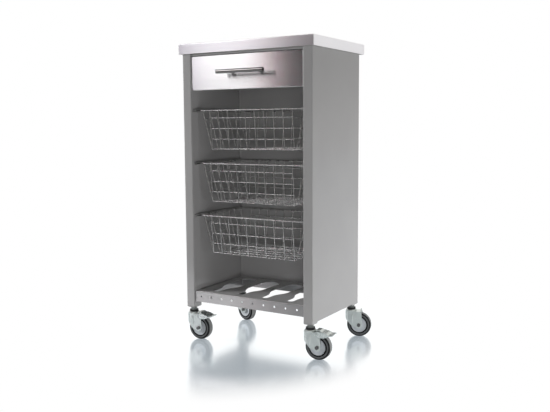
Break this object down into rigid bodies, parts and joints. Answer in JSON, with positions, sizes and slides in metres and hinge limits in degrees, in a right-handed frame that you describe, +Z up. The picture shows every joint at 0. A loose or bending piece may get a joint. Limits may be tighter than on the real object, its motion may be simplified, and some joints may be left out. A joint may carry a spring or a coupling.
{
  "type": "kitchen trolley",
  "caption": "Kitchen trolley on swivel castors: stainless worktop, drawer with bar handle, sliding wire baskets and a slotted bottom shelf in a grey sheet-metal cabinet.",
  "frame": {"origin": "on the floor under the middle of the overall outline, castors and handle included", "axes": "+X to the right along the drawer front, +Y to the back, +Z up"},
  "size_m": [0.5092, 0.348, 0.9],
  "materials": {
    "stainless": "brushed",
    "grey_paint": "satin",
    "board": "grey laminate-faced board",
    "drawer_paint": "satin",
    "basket_coat": "satin coated wire",
    "zinc": "zinc plated",
    "packer_plastic": "matte",
    "black_plastic": "matte",
    "wheel_grey": "satin",
    "tyre_rubber": "matte"
  },
  "bodies": {
    "cabinet": {"worktop_skin": "stainless", "left_side_panel": "grey_paint", "right_side_panel": "grey_paint", "left_inner_skin": "grey_paint", "right_inner_skin": "grey_paint", "back_panel": "grey_paint", "front_top_rail": "grey_paint", "rear_top_rail": "grey_paint", "bottom_shelf": "grey_paint", "castor_sockets": "grey_paint", "worktop_core": "board", "basket_runners_top": "zinc", "basket_runners_middle": "zinc", "basket_runners_lower": "zinc", "runner_packers": "packer_plastic", "drawer_slide_cabinet_members": "zinc", "castor_stems": "zinc", "worktop_screws": "zinc", "shelf_screws": "zinc", "runner_screws": "zinc", "slide_screws": "zinc", "back_panel_rivets": "zinc", "castor_dust_rings": "black_plastic"},
    "drawer": {"drawer_front": "stainless", "drawer_front_core": "board", "drawer_box": "drawer_paint", "handle_bar": "stainless", "handle_posts": "stainless", "handle_screws": "zinc", "drawer_slide_drawer_members": "zinc"},
    "slide_middle": {"drawer_slide_middle_members": "zinc"},
    "basket_top": {"basket_top_rim": "basket_coat", "basket_top_walls": "basket_coat", "basket_top_floor": "basket_coat"},
    "basket_middle": {"basket_middle_rim": "basket_coat", "basket_middle_walls": "basket_coat", "basket_middle_floor": "basket_coat"},
    "basket_lower": {"basket_lower_rim": "basket_coat", "basket_lower_walls": "basket_coat", "basket_lower_floor": "basket_coat"},
    "castor_front_left": {"castor_front_left_fork": "zinc", "castor_front_left_axle": "zinc", "castor_front_left_brake_rivets": "zinc"},
    "wheel_front_left": {"castor_front_left_wheel_centre": "wheel_grey", "castor_front_left_tyre": "tyre_rubber"},
    "pedal_front_left": {"castor_front_left_brake_pedal": "zinc"},
    "castor_front_right": {"castor_front_right_fork": "zinc", "castor_front_right_axle": "zinc", "castor_front_right_brake_rivets": "zinc"},
    "wheel_front_right": {"castor_front_right_wheel_centre": "wheel_grey", "castor_front_right_tyre": "tyre_rubber"},
    "pedal_front_right": {"castor_front_right_brake_pedal": "zinc"},
    "castor_rear_left": {"castor_rear_left_fork": "zinc", "castor_rear_left_axle": "zinc"},
    "wheel_rear_left": {"castor_rear_left_wheel_centre": "wheel_grey", "castor_rear_left_tyre": "tyre_rubber"},
    "castor_rear_right": {"castor_rear_right_fork": "zinc", "castor_rear_right_axle": "zinc"},
    "wheel_rear_right": {"castor_rear_right_wheel_centre": "wheel_grey", "castor_rear_right_tyre": "tyre_rubber"}
  },
  "joints": [
    {"name": "drawer_slide", "type": "slide", "parent": "cabinet", "child": "drawer", "axis": [0, -1, 0], "range_m": [0, 0.2]},
    {"name": "slide_middle_slide", "type": "slide", "parent": "cabinet", "child": "slide_middle", "axis": [0, -1, 0], "range_m": [0, 0.1]},
    {"name": "basket_top_slide", "type": "slide", "parent": "cabinet", "child": "basket_top", "axis": [0, -1, 0], "range_m": [0, 0.18]},
    {"name": "basket_middle_slide", "type": "slide", "parent": "cabinet", "child": "basket_middle", "axis": [0, -1, 0], "range_m": [0, 0.18]},
    {"name": "basket_lower_slide", "type": "slide", "parent": "cabinet", "child": "basket_lower", "axis": [0, -1, 0], "range_m": [0, 0.18]},
    {"name": "castor_front_left_swivel", "type": "hinge", "parent": "cabinet", "child": "castor_front_left", "pos_m": [-0.23063, -0.127, 0.088], "axis": [0, 0, 1], "continuous": true},
    {"name": "wheel_front_left_spin", "type": "hinge", "parent": "castor_front_left", "child": "wheel_front_left", "pos_m": [-0.20569, -0.12526, 0.0375], "axis": [-0.0698, 0.9976, 0], "continuous": true},
    {"name": "pedal_front_left_press", "type": "hinge", "parent": "castor_front_left", "child": "pedal_front_left", "pos_m": [-0.20968, -0.12554, 0.0755], "axis": [-0.0698, 0.9976, 0], "range_deg": [0, 9.5]},
    {"name": "castor_front_right_swivel", "type": "hinge", "parent": "cabinet", "child": "castor_front_right", "pos_m": [0.18137, -0.127, 0.088], "axis": [0, 0, 1], "continuous": true},
    {"name": "wheel_front_right_spin", "type": "hinge", "parent": "castor_front_right", "child": "wheel_front_right", "pos_m": [0.20615, -0.12374, 0.0375], "axis": [-0.1305, 0.9914, 0], "continuous": true},
    {"name": "pedal_front_right_press", "type": "hinge", "parent": "castor_front_right", "child": "pedal_front_right", "pos_m": [0.20219, -0.12426, 0.0755], "axis": [-0.1305, 0.9914, 0], "range_deg": [0, 9.5]},
    {"name": "castor_rear_left_swivel", "type": "hinge", "parent": "cabinet", "child": "castor_rear_left", "pos_m": [-0.23063, 0.141, 0.088], "axis": [0, 0, 1], "continuous": true},
    {"name": "wheel_rear_left_spin", "type": "hinge", "parent": "castor_rear_left", "child": "wheel_rear_left", "pos_m": [-0.2066, 0.13411, 0.0375], "axis": [0.2756, 0.9613, 0], "continuous": true},
    {"name": "castor_rear_right_swivel", "type": "hinge", "parent": "cabinet", "child": "castor_rear_right", "pos_m": [0.18137, 0.141, 0.088], "axis": [0, 0, 1], "continuous": true},
    {"name": "wheel_rear_right_spin", "type": "hinge", "parent": "castor_rear_right", "child": "wheel_rear_right", "pos_m": [0.20514, 0.14873, 0.0375], "axis": [-0.309, 0.9511, 0], "continuous": true}
  ],
  "couplings": [
    {"joint": "slide_middle_slide", "follows": "drawer_slide", "ratio": 0.5}
  ]
}
